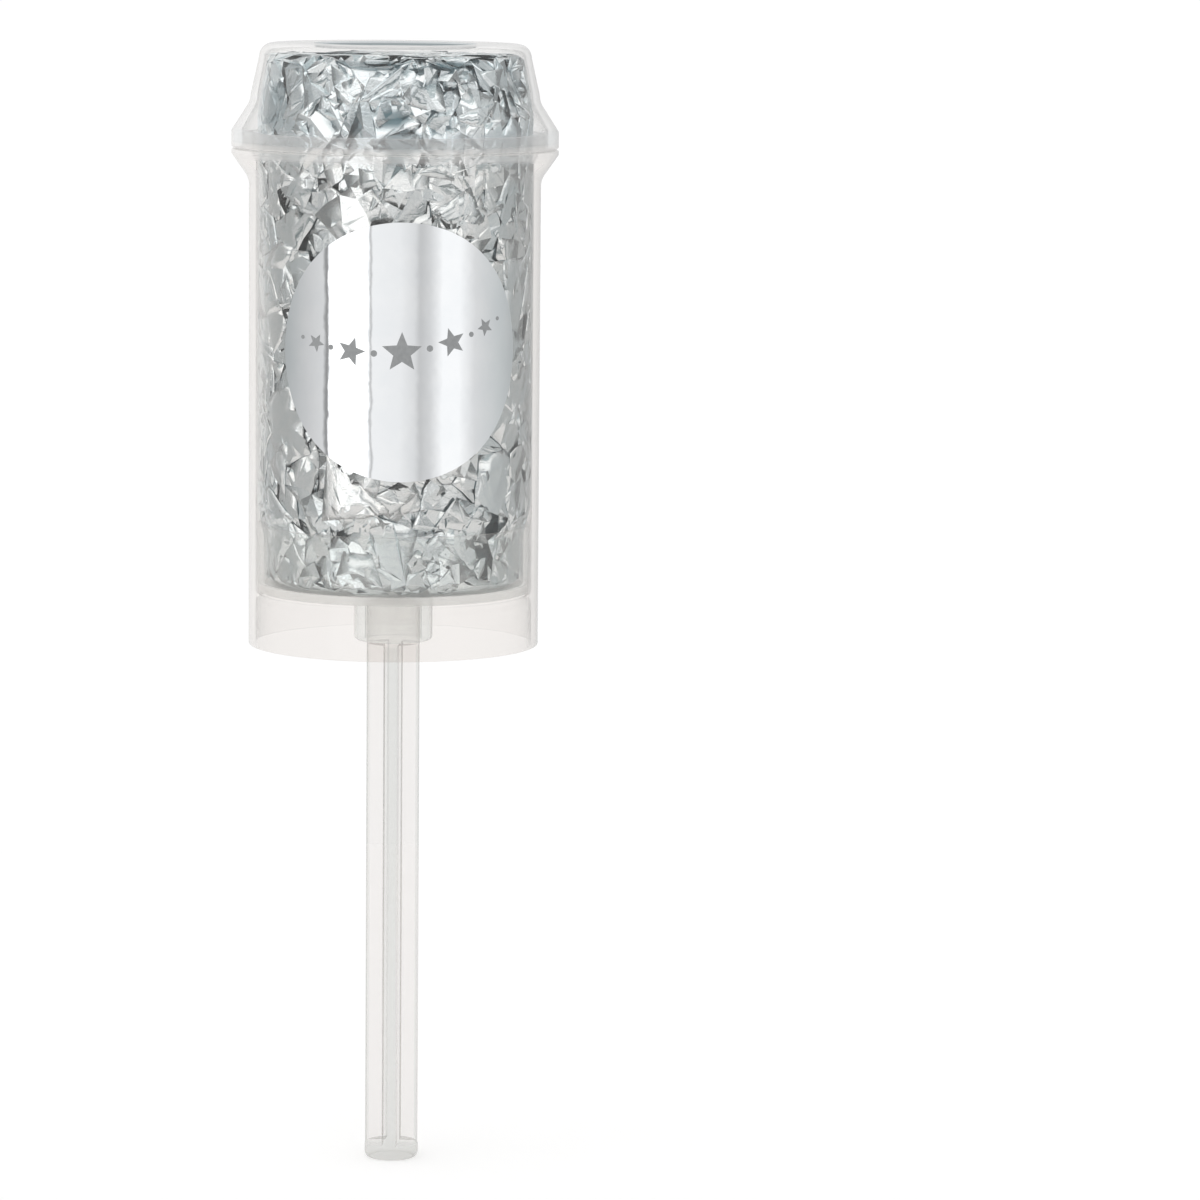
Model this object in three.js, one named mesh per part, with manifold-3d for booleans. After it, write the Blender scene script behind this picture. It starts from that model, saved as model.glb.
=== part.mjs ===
// Confetti push pop: a clear barrel packed with crumpled foil flakes, a lift-off cap, and a plunger
// on a stick that pushes the foil out of the top. Millimetres, +Z up along the axis. The origin is
// the centre of the stick's foot, and the round sticker faces -Y.

import * as THREE from 'three';
import { mergeVertices } from 'three/addons/utils/BufferGeometryUtils.js';
import Module from 'manifold-3d';

const wasm = await Module();
wasm.setup();

// Barrel: a straight tube whose mouth flares out to a flange and ends in a neck inside the cap
const BARREL_RADIUS = 25;
const BARREL_WALL = 1.2;
const BARREL_HEIGHT = 85.3; // bottom rim to the top of the flange
const FLANGE_REACH = 3; // how far the flange and the cap's rim stand out from the barrel
const FLANGE_EDGE = 0.8;
const COLLAR_HEIGHT = 5.4; // flared stretch under the flange's edge
const FLARE_FILLET = 3.5;
const NECK_HEIGHT = 2.8;
const NECK_WALL = 1.2;
const BEAD_HEIGHT = 0.15; // friction bead round the neck
const BEAD_WIDTH = 1.0;
const LEDGE_DEPTH = 0.9; // stop inside the bore, under the plunger
const LEDGE_HEIGHT = 1.2;
const RIM_ROUND = 0.3;

// Cap: a shallow cup with a rounded top edge, a drafted wall and a flared rim
const CAP_HEIGHT = 17.7;
const CAP_WALL = 1.15;
const CAP_STEP = 0.3; // how much narrower than the barrel its wall is, above the flare
const CAP_DRAFT = 1.4; // how much the wall's line narrows up to the flat top
const CAP_RIM_WALL = 1.85;
const CAP_RIM_EDGE = 2.8;
const CAP_FLARE_HEIGHT = 6.2;
const CAP_EDGE_ROUND = 2.4;

// Plunger: a disc with a guide wall above it and a socket for the stick below it
const PLUNGER_RECESS = 9.3; // underside of the disc above the barrel's bottom rim
const PLUNGER_FLOOR = 1.3;
const PLUNGER_HEIGHT = 11.6;
const PLUNGER_WALL = 1.1;
const HUB_WALL = 1.85;
const HUB_LENGTH = 8.7;
const HUB_ROUND = 0.8;
const SOCKET_DEPTH = 7;

// Stick: a cross of four fins with a round plug at the top and a round foot
const STICK_REACH = 90.7; // foot to the barrel's bottom rim
const STICK_WIDTH = 9;
const FIN_THICKNESS = 2.4;
const FIN_FILLET = 0.5;
const FIN_BEVEL = 0.4;
const STICK_ANGLE = -9.5; // degrees, how the stick happens to be turned
const PLUG_LIP = 0.1; // how far the plug stands out past the fins
const PLUG_CHAMFER = 0.6;
const FOOT_LIP = 0.15;
const FOOT_HEIGHT = 2.6;
const FOOT_ROUND = 1;

// Sticker: a round patch wrapped on the front of the barrel
const LABEL_DIAMETER = 43.6;
const LABEL_THICKNESS = 0.12;
const LABEL_DROP = 4.9; // from the collar down to its top edge
const LABEL_COLUMNS = 24;

// Foil: flakes pressed against the wall round a crumpled core that stands for the packed rest
const FOIL_THICKNESS = 0.3;
const FOIL_CREASE = 0.8; // how far creases dip below the outermost foil
const FLAKES_AROUND = 8;
const FLAKE_ROWS = 4; // rows above the plunger's guide wall, with one more inside it
const FLAKES_ON_TOP = 6;
const FLAKE_INSET = 0.045; // share by which a flake shrinks from its neighbours
const FLAKE_STRAY = 0.22; // share of their spacing by which corners stray round the wall
const FLAKE_RISE = 0.28; // share of a row's height by which they stray up or down
const CREASE_RING = 0.4; // how far in from its corners a flake is creased, as a share
const CREASE_SPREAD = 0.25;
const CORE_SIDES = 24;
const CORE_LEVELS = 14;
const CORE_DENT = 1.4;

// Clearances
const SEAT_GAP = 0.3; // between faces that rest on each other
const RUNNING_GAP = 0.3; // between pieces that slide or turn in each other
const LABEL_GAP = 0.05; // adhesive under the sticker

const SIDES = 64; // facets round every turned piece

// Heights that follow from the sizes above
const barrelBottom = STICK_REACH;
const flangeTop = barrelBottom + BARREL_HEIGHT;
const flangeBottom = flangeTop - FLANGE_EDGE;
const collarBottom = flangeBottom - COLLAR_HEIGHT;
const neckTop = flangeTop + NECK_HEIGHT;
const capBottom = flangeTop + SEAT_GAP;
const capTop = capBottom + CAP_HEIGHT;
const capCeiling = capTop - CAP_WALL;
const capFlareBottom = capBottom + CAP_RIM_EDGE;
const capFlareTop = capFlareBottom + CAP_FLARE_HEIGHT;
const plungerBottom = barrelBottom + PLUNGER_RECESS;
const plungerTop = plungerBottom + PLUNGER_HEIGHT;
const hubBottom = plungerBottom - HUB_LENGTH;
const socketTop = hubBottom + SOCKET_DEPTH;
const foilBottom = plungerBottom + PLUNGER_FLOOR + SEAT_GAP;
const foilTop = capCeiling - SEAT_GAP;

// Radii that follow from the sizes above
const boreRadius = BARREL_RADIUS - BARREL_WALL;
const ringRadius = BARREL_RADIUS + FLANGE_REACH;
const rimInner = ringRadius - CAP_RIM_WALL;
const neckRadius = rimInner - RUNNING_GAP - BEAD_HEIGHT;
const neckInner = neckRadius - NECK_WALL;
const capFootRadius = BARREL_RADIUS - CAP_STEP;
const capTopRadius = capFootRadius - CAP_DRAFT;
const plungerRadius = boreRadius - RUNNING_GAP;
const plungerInner = plungerRadius - PLUNGER_WALL;
const finReach = STICK_WIDTH / 2;
const plugRadius = finReach + PLUG_LIP;
const footRadius = finReach + FOOT_LIP;
const socketRadius = plugRadius + RUNNING_GAP;
const hubRadius = socketRadius + HUB_WALL;

// A plastic with the given tint
function plastic(color, roughness) {
  return new THREE.MeshStandardMaterial({ color, roughness, metalness: 0 });
}

// Silver film, lighter or darker by tone from 0 to 1
function foil(tone) {
  const color = new THREE.Color(0x8f9a9f).lerp(new THREE.Color(0xe4e8ea), tone);
  return new THREE.MeshStandardMaterial({ color, roughness: 0.25, metalness: 0.9 });
}

// Repeatable numbers from 0 to 1
function randomFrom(seed) {
  let state = seed;
  return () => {
    state = (Math.imul(state, 1664525) + 1013904223) >>> 0;
    return state / 4294967296;
  };
}

// Points of an arc in a half section, from one angle to another in degrees
function arc(radius, height, round, from, to, steps) {
  const points = [];
  for (let i = 0; i <= steps; i++) {
    const angle = THREE.MathUtils.degToRad(from + ((to - from) * i) / steps);
    points.push([radius + round * Math.cos(angle), height + round * Math.sin(angle)]);
  }
  return points;
}

// Points of a flare that leaves an upright wall by a hollow fillet and runs straight to its edge
function flare(wallRadius, wallHeight, edgeRadius, edgeHeight, fillet) {
  const spread = fillet - (edgeRadius - wallRadius);
  const rise = Math.abs(edgeHeight - wallHeight);
  const turn = Math.atan2(rise, spread) - Math.acos(fillet / Math.hypot(rise, spread));
  const up = Math.sign(edgeHeight - wallHeight);
  const points = [];
  for (let i = 0; i <= 3; i++) {
    const angle = (turn * i) / 3;
    const out = fillet * (1 - Math.cos(angle));
    points.push([wallRadius + out, wallHeight + up * fillet * Math.sin(angle)]);
  }
  points.push([edgeRadius, edgeHeight]);
  return points;
}

// Turns a half section of [radius, height] points round Z
function turned(points) {
  const section = points.map(([radius, height]) => new THREE.Vector2(radius, height));
  return new THREE.LatheGeometry(section, SIDES).rotateX(Math.PI / 2);
}

// Turns a section that closes on itself, for a ring or a tube
function turnedRing(points) {
  return turned([...points, points[0]]);
}

// Solid of a closed geometry, for joining
function solid(geometry) {
  const bare = geometry.clone();
  bare.deleteAttribute('normal');
  bare.deleteAttribute('uv');
  const merged = mergeVertices(bare, 1e-4);
  return new wasm.Manifold(new wasm.Mesh({
    numProp: 3,
    vertProperties: merged.attributes.position.array,
    triVerts: Uint32Array.from(merged.index.array),
  }));
}

// Joins closed geometries that overlap into one
function joined(...geometries) {
  const mesh = geometries.map(solid).reduce((sum, part) => sum.add(part)).getMesh();
  const geometry = new THREE.BufferGeometry();
  geometry.setAttribute('position', new THREE.BufferAttribute(mesh.vertProperties, 3));
  geometry.setIndex(new THREE.BufferAttribute(mesh.triVerts, 1));
  geometry.computeVertexNormals();
  return geometry;
}

// Closes a sheet: its outer and inner points match one to one, its triangles and its edge loop run
// anticlockwise as seen from outside
function thickSheet(outer, inner, triangles, loop) {
  const count = outer.length;
  const index = [];
  for (const [a, b, c] of triangles) {
    index.push(a, b, c, a + count, c + count, b + count);
  }
  loop.forEach((a, i) => {
    const b = loop[(i + 1) % loop.length];
    index.push(a, a + count, b + count, a, b + count, b);
  });
  const geometry = new THREE.BufferGeometry().setFromPoints([...outer, ...inner]);
  geometry.setIndex(index);
  geometry.computeVertexNormals();
  return geometry;
}

// A point on the axis's cylinder, with angle 0 at the front and growing towards +X
function around(radius, angle, height) {
  return new THREE.Vector3(radius * Math.sin(angle), -radius * Math.cos(angle), height);
}

// How far a turned piece's flat facets lie from the axis at an angle
function facetRadius(radius, angle) {
  const half = Math.PI / SIDES;
  const offset = THREE.MathUtils.euclideanModulo(angle, 2 * half) - half;
  return (radius * Math.cos(half)) / Math.cos(offset);
}

// Inner radius of the cap's drafted wall
function capInner(height) {
  const share = (height - capFlareTop) / (capTop - capFlareTop);
  return THREE.MathUtils.lerp(capFootRadius, capTopRadius, share) - CAP_WALL;
}

function barrelSection() {
  const outer = flare(BARREL_RADIUS, collarBottom, ringRadius, flangeBottom, FLARE_FILLET);
  const beadMiddle = flangeTop + NECK_HEIGHT / 2;
  const ledgeTop = plungerBottom - SEAT_GAP;
  return [
    [boreRadius + RIM_ROUND, barrelBottom],
    [BARREL_RADIUS - RIM_ROUND, barrelBottom],
    [BARREL_RADIUS, barrelBottom + RIM_ROUND],
    ...outer,
    [ringRadius, flangeTop - RIM_ROUND],
    [ringRadius - RIM_ROUND, flangeTop],
    [neckRadius, flangeTop],
    [neckRadius, beadMiddle - BEAD_WIDTH / 2],
    [neckRadius + BEAD_HEIGHT, beadMiddle],
    [neckRadius, beadMiddle + BEAD_WIDTH / 2],
    [neckRadius, neckTop - RIM_ROUND],
    [neckRadius - RIM_ROUND, neckTop],
    [neckInner + RIM_ROUND, neckTop],
    [neckInner, neckTop - RIM_ROUND],
    [neckInner, flangeBottom],
    [boreRadius, flangeBottom - 2 * (neckInner - boreRadius)],
    [boreRadius, ledgeTop],
    [boreRadius - LEDGE_DEPTH, ledgeTop - RIM_ROUND],
    [boreRadius - LEDGE_DEPTH, ledgeTop - LEDGE_HEIGHT + RIM_ROUND],
    [boreRadius, ledgeTop - LEDGE_HEIGHT - RIM_ROUND],
    [boreRadius, barrelBottom + RIM_ROUND],
  ];
}

function barrel() {
  const mesh = new THREE.Mesh(turnedRing(barrelSection()), plastic(0xeeece9, 0.25));
  mesh.name = 'barrel';
  return mesh;
}

function capOuter() {
  const edge = capTopRadius - CAP_EDGE_ROUND;
  return [
    [0, capTop],
    ...arc(edge, capTop - CAP_EDGE_ROUND, CAP_EDGE_ROUND, 90, 0, 6),
    ...flare(capFootRadius, capFlareTop, ringRadius, capFlareBottom, FLARE_FILLET),
    [ringRadius, capBottom + RIM_ROUND],
    [ringRadius - RIM_ROUND, capBottom],
  ];
}

function capInside() {
  const round = CAP_EDGE_ROUND - CAP_WALL;
  const rimTop = neckTop + 2 * SEAT_GAP;
  const wallFoot = capInner(capFlareTop);
  const shoulder = flare(wallFoot, capFlareTop, rimInner, rimTop, FLARE_FILLET + CAP_WALL);
  return [
    [rimInner + RIM_ROUND, capBottom],
    [rimInner, capBottom + RIM_ROUND],
    ...shoulder.reverse(),
    ...arc(capInner(capCeiling) - round, capCeiling - round, round, 0, 90, 4),
    [0, capCeiling],
  ];
}

function cap() {
  const section = [...capOuter(), ...capInside()].reverse();
  const mesh = new THREE.Mesh(turned(section), plastic(0xf2f0ed, 0.25));
  mesh.name = 'cap';
  return mesh;
}

function plungerSection() {
  const floorTop = plungerBottom + PLUNGER_FLOOR;
  return [
    [0, socketTop],
    [socketRadius, socketTop],
    [socketRadius, hubBottom + RIM_ROUND],
    [socketRadius + RIM_ROUND, hubBottom],
    ...arc(hubRadius - HUB_ROUND, hubBottom + HUB_ROUND, HUB_ROUND, -90, 0, 3),
    [hubRadius, plungerBottom - HUB_ROUND],
    [hubRadius + HUB_ROUND, plungerBottom],
    [plungerRadius - RIM_ROUND, plungerBottom],
    [plungerRadius, plungerBottom + RIM_ROUND],
    [plungerRadius, plungerTop - RIM_ROUND],
    [plungerRadius - RIM_ROUND, plungerTop],
    [plungerInner + RIM_ROUND, plungerTop],
    [plungerInner, plungerTop - RIM_ROUND],
    [plungerInner, floorTop + RIM_ROUND],
    [plungerInner - RIM_ROUND, floorTop],
    [0, floorTop],
  ];
}

function plunger() {
  const mesh = new THREE.Mesh(turned(plungerSection()), plastic(0xe9e7e3, 0.35));
  mesh.name = 'plunger';
  return mesh;
}

// Cross section of the fins, with hollow fillets where they meet and bevelled tips
function finShape() {
  const tip = finReach;
  const half = FIN_THICKNESS / 2;
  const root = half + FIN_FILLET;
  const quarter = [
    [tip - FIN_BEVEL, -half],
    [tip, FIN_BEVEL - half],
    [tip, half - FIN_BEVEL],
    [tip - FIN_BEVEL, half],
    ...arc(root, root, FIN_FILLET, 270, 180, 3),
  ].map(([x, y]) => new THREE.Vector2(x, y));
  const centre = new THREE.Vector2();
  const quarters = [0, 1, 2, 3].flatMap((n) =>
    quarter.map((point) => point.clone().rotateAround(centre, (n * Math.PI) / 2)));
  return new THREE.Shape(quarters);
}

function fins() {
  const foot = FOOT_HEIGHT / 2;
  const depth = hubBottom - SEAT_GAP - foot;
  const options = { depth, bevelEnabled: false };
  return new THREE.ExtrudeGeometry(finShape(), options).translate(0, 0, foot);
}

function stickPlug() {
  const bottom = hubBottom - 2 * SEAT_GAP;
  const top = socketTop - SEAT_GAP;
  return turned([
    [0, bottom],
    [plugRadius, bottom],
    [plugRadius, top - PLUG_CHAMFER],
    [plugRadius - PLUG_CHAMFER, top],
    [0, top],
  ]);
}

function stickFoot() {
  return turned([
    [0, 0],
    ...arc(footRadius - FOOT_ROUND, FOOT_ROUND, FOOT_ROUND, -90, 0, 4),
    [footRadius, FOOT_HEIGHT - RIM_ROUND],
    [footRadius - RIM_ROUND, FOOT_HEIGHT],
    [0, FOOT_HEIGHT],
  ]);
}

function stick() {
  const mesh = new THREE.Mesh(joined(fins(), stickPlug(), stickFoot()), plastic(0xefeeeb, 0.3));
  mesh.name = 'stick';
  mesh.rotation.z = THREE.MathUtils.degToRad(STICK_ANGLE);
  return mesh;
}

// Angles at which the sticker has a column of points: evenly round its edge, and on facet lines
function labelAngles() {
  const reach = LABEL_DIAMETER / 2 / BARREL_RADIUS;
  const facet = (2 * Math.PI) / SIDES;
  const edges = Math.floor(reach / facet - 0.1);
  const angles = [];
  for (let i = -edges; i <= edges; i++) {
    angles.push(i * facet);
  }
  for (let i = 0; i <= LABEL_COLUMNS; i++) {
    const angle = reach * Math.sin(Math.PI * (i / LABEL_COLUMNS - 0.5));
    if (angles.every((other) => Math.abs(other - angle) > facet / 12)) {
      angles.push(angle);
    }
  }
  return angles.sort((a, b) => a - b);
}

function labelSheet() {
  const middle = collarBottom - LABEL_DROP - LABEL_DIAMETER / 2;
  const angles = labelAngles();
  const [outer, inner] = [LABEL_GAP + LABEL_THICKNESS, LABEL_GAP].map((lift) =>
    angles.flatMap((angle) => {
      const radius = facetRadius(BARREL_RADIUS + lift, angle);
      const across = BARREL_RADIUS * angle;
      const half = Math.sqrt(Math.max((LABEL_DIAMETER / 2) ** 2 - across ** 2, 0)) + LABEL_THICKNESS;
      return [around(radius, angle, middle - half), around(radius, angle, middle + half)];
    }));
  const triangles = [];
  for (let i = 0; i + 3 < outer.length; i += 2) {
    triangles.push([i, i + 2, i + 3], [i, i + 3, i + 1]);
  }
  const low = angles.map((_, i) => 2 * i);
  const high = low.map((i) => i + 1).reverse();
  return thickSheet(outer, inner, triangles, [...low, ...high]);
}

function label() {
  const mesh = new THREE.Mesh(labelSheet(), foil(0.9));
  mesh.name = 'label';
  return mesh;
}

// Outermost radius that the foil may reach at a height, clear of what surrounds it
function foilRadius(height) {
  if (height < plungerTop + SEAT_GAP) {
    return plungerInner - RUNNING_GAP;
  }
  return Math.min(boreRadius, capInner(height)) - RUNNING_GAP;
}

// Depth below the outermost foil that a flake's widest straight stretch can dip to
function foilDepth() {
  const widest = (Math.PI / FLAKES_AROUND) * (1 + 2 * FLAKE_STRAY);
  return FOIL_CREASE + FOIL_THICKNESS + boreRadius * (1 - Math.cos(widest / 2));
}

// Closes a flake: an outline of corners, a ring of points half way in and a middle point, each with
// its own depth of crease. place turns a corner and a depth into a point
function flake(corners, place, random) {
  const middle = corners.reduce((sum, p) => sum.add(p), new THREE.Vector2()).divideScalar(corners.length);
  const count = corners.length;
  const rim = corners.map((p) => p.clone().lerp(middle, FLAKE_INSET));
  const ring = corners.map((p) => p.clone().lerp(middle, CREASE_RING + CREASE_SPREAD * random()));
  const points = [...rim, ...ring, middle];
  const depths = points.map(() => FOIL_CREASE * random());
  const outer = points.map((p, i) => place(p, depths[i]));
  const inner = points.map((p, i) => place(p, depths[i] + FOIL_THICKNESS));
  const triangles = [];
  for (let i = 0; i < count; i++) {
    const next = (i + 1) % count;
    triangles.push([i, next, count + next], [i, count + next, count + i]);
    triangles.push([count + i, count + next, 2 * count]);
  }
  return thickSheet(outer, inner, triangles, rim.map((_, i) => i));
}

// Heights of the lines between the rows of side flakes
function flakeLevels() {
  const low = plungerTop + SEAT_GAP;
  const high = capCeiling - CAP_EDGE_ROUND;
  const levels = [foilBottom];
  for (let i = 0; i <= FLAKE_ROWS; i++) {
    levels.push(THREE.MathUtils.lerp(low, high, i / FLAKE_ROWS));
  }
  return levels;
}

// Jittered corners on the lines between rows, as [angle, height], shared by the flakes that meet
function flakeCorners(random) {
  const levels = flakeLevels();
  const step = Math.PI / FLAKES_AROUND;
  return levels.map((height, row) => {
    const free = row > 1 && row < levels.length - 1;
    const swing = free ? FLAKE_RISE * (height - levels[row - 1]) : 0;
    return Array.from({ length: 2 * FLAKES_AROUND }, (_, i) => new THREE.Vector2(
      step * (i + FLAKE_STRAY * (2 * random() - 1)),
      height + swing * (2 * random() - 1),
    ));
  });
}

// Corner of a line between rows, counted on past a full turn
function cornerAt(line, i) {
  const turns = Math.floor(i / line.length);
  const corner = line[i - turns * line.length];
  return new THREE.Vector2(corner.x + 2 * Math.PI * turns, corner.y);
}

function sideFlakes() {
  const random = randomFrom(11);
  const lines = flakeCorners(random);
  const place = (p, depth) => around(foilRadius(p.y) - depth, p.x, p.y);
  const meshes = [];
  for (let row = 0; row + 1 < lines.length; row++) {
    for (let i = 0; i < FLAKES_AROUND; i++) {
      const first = 2 * i + (row % 2);
      const low = [0, 1, 2].map((k) => cornerAt(lines[row], first + k));
      const high = [2, 1, 0].map((k) => cornerAt(lines[row + 1], first + k));
      const mesh = new THREE.Mesh(flake([...low, ...high], place, random), foil(random()));
      mesh.name = `foil_flake_${String(meshes.length + 1).padStart(2, '0')}`;
      meshes.push(mesh);
    }
  }
  return meshes;
}

function topFlakes() {
  const random = randomFrom(5);
  const reach = foilRadius(capCeiling - CAP_EDGE_ROUND) - foilDepth() - RUNNING_GAP;
  const step = Math.PI / FLAKES_ON_TOP;
  const rim = Array.from({ length: 2 * FLAKES_ON_TOP }, (_, i) =>
    step * (i + FLAKE_STRAY * (2 * random() - 1)));
  const place = (p, depth) => new THREE.Vector3(p.x, p.y, foilTop - depth);
  const corner = (i) => {
    const angle = rim[i % rim.length];
    return new THREE.Vector2(reach * Math.sin(angle), -reach * Math.cos(angle));
  };
  return Array.from({ length: FLAKES_ON_TOP }, (_, i) => {
    const outline = [new THREE.Vector2(), corner(2 * i), corner(2 * i + 1), corner(2 * i + 2)];
    const mesh = new THREE.Mesh(flake(outline, place, random), foil(random()));
    mesh.name = `foil_top_flake_${i + 1}`;
    return mesh;
  });
}

// Crumpled column of packed foil, one body that stands for the flakes inside
function foilCore() {
  const random = randomFrom(3);
  const bottom = foilBottom;
  const top = foilTop - FOIL_CREASE - FOIL_THICKNESS - SEAT_GAP;
  const column = new THREE.CylinderGeometry(1, 1, 1, CORE_SIDES, CORE_LEVELS).rotateX(Math.PI / 2);
  column.deleteAttribute('normal');
  column.deleteAttribute('uv');
  const geometry = mergeVertices(column, 1e-4);
  const points = geometry.attributes.position;
  const level = (top - bottom) / CORE_LEVELS;
  for (let i = 0; i < points.count; i++) {
    const share = points.getZ(i) + 0.5;
    const inside = share > 0.01 && share < 0.99;
    const height = bottom + (top - bottom) * share + (inside ? 0.5 * level * (random() - 0.5) : 0);
    const limit = Math.min(foilRadius(height - level), foilRadius(height + level), foilRadius(height));
    const radius = limit - foilDepth() - SEAT_GAP - CORE_DENT * random();
    points.setXYZ(i, points.getX(i) * radius, points.getY(i) * radius, height);
  }
  geometry.computeVertexNormals();
  const mesh = new THREE.Mesh(geometry, foil(0));
  mesh.name = 'foil_core';
  return mesh;
}

const pushPop = new THREE.Group();
pushPop.name = 'confetti_push_pop';
pushPop.add(barrel(), label(), cap(), plunger(), stick(), foilCore(), ...sideFlakes(), ...topFlakes());

export default pushPop;
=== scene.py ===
# Looks of the confetti push pop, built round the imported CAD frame. Sizes below are in millimetres
# and turn into metres where a mesh is made. +Z runs up the axis and the sticker faces -Y.

import math
import random

import bpy
import numpy as np
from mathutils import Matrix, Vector
from mathutils.geometry import delaunay_2d_cdt


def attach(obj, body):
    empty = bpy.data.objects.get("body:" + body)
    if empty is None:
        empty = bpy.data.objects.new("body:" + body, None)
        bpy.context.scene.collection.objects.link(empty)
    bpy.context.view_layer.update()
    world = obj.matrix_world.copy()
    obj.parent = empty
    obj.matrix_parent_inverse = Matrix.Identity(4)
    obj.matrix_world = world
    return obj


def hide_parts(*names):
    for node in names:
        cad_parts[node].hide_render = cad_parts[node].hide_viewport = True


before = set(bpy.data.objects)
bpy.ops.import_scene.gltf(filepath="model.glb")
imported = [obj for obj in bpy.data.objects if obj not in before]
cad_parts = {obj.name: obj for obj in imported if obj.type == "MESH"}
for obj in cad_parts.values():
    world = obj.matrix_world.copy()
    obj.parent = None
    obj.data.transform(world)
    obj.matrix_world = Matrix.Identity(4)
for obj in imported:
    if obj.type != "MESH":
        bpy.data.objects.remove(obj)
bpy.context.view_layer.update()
scene = bpy.context.scene

MM = 0.001

# Camera, as the perspective of the photograph gives it
FOCAL_PIXELS = 5540
IMAGE_PIXELS = 1200
SENSOR = 36
CAMERA_DISTANCE = 951
CAMERA_HEIGHT = 220.2
CAMERA_AZIMUTH = 2.9
CAMERA_PAN = 2.153
CAMERA_TILT = 7.3
CAMERA_ROLL = 0.507

# Barrel, as in the CAD source
BARREL_RADIUS = 25
BORE_RADIUS = 23.8
BARREL_BOTTOM = 90.7
COLLAR_BOTTOM = 169.8
FLANGE_BOTTOM = 175.2
FLANGE_TOP = 176
RING_RADIUS = 28
NECK_RADIUS = 25.7
NECK_INNER = 24.5
NECK_TOP = 178.8
BEAD = 0.15
FLARE_FILLET = 3.5
LEDGE_DEPTH = 0.9
LEDGE_TOP = 99.7
LEDGE_BOTTOM = 98.5
RIM_ROUND = 0.3

# Cap
CAP_BOTTOM = 176.3
CAP_RIM_TOP = 179.1
CAP_WALL_FOOT = 185.3
CAP_TOP = 194
CAP_CEILING = 192.85
CAP_FOOT_RADIUS = 24.7
CAP_TOP_RADIUS = 23.3
CAP_WALL = 1.15
CAP_RIM_INNER = 26.15
CAP_SHOULDER = 179.4
CAP_EDGE_ROUND = 2.4
RECESS_RADIUS = 13.8
RECESS_DEPTH = 0.75
GATE_RADIUS = 0.9
GATE_HEIGHT = 0.2

# Plunger
PLUNGER_BOTTOM = 100
PLUNGER_FLOOR = 101.3
PLUNGER_TOP = 111.6
PLUNGER_RADIUS = 23.5
PLUNGER_INNER = 22.4
HUB_RADIUS = 6.75
HUB_BOTTOM = 91.3
HUB_ROUND = 0.8
SOCKET_RADIUS = 4.9
SOCKET_TOP = 98.3

# Stick
FIN_REACH = 4.5
FIN_HALF = 1.2
FIN_FILLET = 0.5
FIN_BEVEL = 0.4
STICK_ANGLE = -9.5
PLUG_RADIUS = 4.6
PLUG_BOTTOM = 90.7
PLUG_TOP = 98
FOOT_RADIUS = 4.65
FOOT_HEIGHT = 2.6
FOOT_ROUND = 1

# Sticker
LABEL_RADIUS = 21.8
LABEL_HEIGHT = 143.1
LABEL_LIFT = 0.05
LABEL_THICKNESS = 0.12
PRINT_LIFT = 0.005
PRINT_THICKNESS = 0.015
PRINT_STEP = 0.6
GARLAND_RISE = 0.09
GARLAND_SAG = 0.012
GARLAND_TURN = 2

SEGMENTS = 160


def link(name, mesh, body, looks, slot, *nodes):
    """Makes a piece of a mesh, on its body, standing for the CAD nodes named."""
    obj = bpy.data.objects.new(name, mesh)
    scene.collection.objects.link(obj)
    for look in looks if isinstance(looks, tuple) else (looks,):
        obj.data.materials.append(look)
    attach(obj, body)
    if nodes:
        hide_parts(*nodes)
    return obj


def mesh_of(name, points, faces, sharp=30):
    """A mesh from points in millimetres, smooth up to the sharp angle in degrees."""
    mesh = bpy.data.meshes.new(name)
    mesh.from_pydata([(x * MM, y * MM, z * MM) for x, y, z in points], [], faces)
    mesh.validate()
    mesh.polygons.foreach_set("use_smooth", [True] * len(mesh.polygons))
    mesh.set_sharp_from_angle(angle=math.radians(sharp))
    mesh.update()
    return mesh


def arc(radius, height, size, start, end, steps):
    """Points of an arc in a half section, angles in degrees."""
    points = []
    for i in range(steps + 1):
        angle = math.radians(start + (end - start) * i / steps)
        points.append((radius + size * math.cos(angle), height + size * math.sin(angle)))
    return points


def flare(wall, wall_height, edge, edge_height, fillet, steps=8):
    """A flare that leaves an upright wall by a hollow fillet and runs straight to its edge."""
    spread = fillet - (edge - wall)
    rise = abs(edge_height - wall_height)
    turn = math.atan2(rise, spread) - math.acos(fillet / math.hypot(rise, spread))
    up = math.copysign(1, edge_height - wall_height)
    points = []
    for i in range(steps + 1):
        angle = turn * i / steps
        points.append((wall + fillet * (1 - math.cos(angle)), wall_height + up * fillet * math.sin(angle)))
    points.append((edge, edge_height))
    return points


def rounded(points, size, least=35, closed=True):
    """Rounds the corners of a section that turn by more than the least angle, in degrees."""
    count = len(points)
    result = []
    for i, here in enumerate(points):
        if not closed and i in (0, count - 1):
            result.append(here)
            continue
        p, before, after = (Vector(v) for v in (here, points[i - 1], points[(i + 1) % count]))
        into, out = p - before, after - p
        turn = abs(into.angle_signed(out))
        if turn < math.radians(least):
            result.append(here)
            continue
        cut = min(size * math.tan(turn / 2), 0.45 * into.length, 0.45 * out.length)
        first, last = p - into.normalized() * cut, p + out.normalized() * cut
        for k in range(5):
            t = k / 4
            q = first * (1 - t) ** 2 + p * 2 * t * (1 - t) + last * t ** 2
            result.append((q.x, q.y))
    return result


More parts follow.
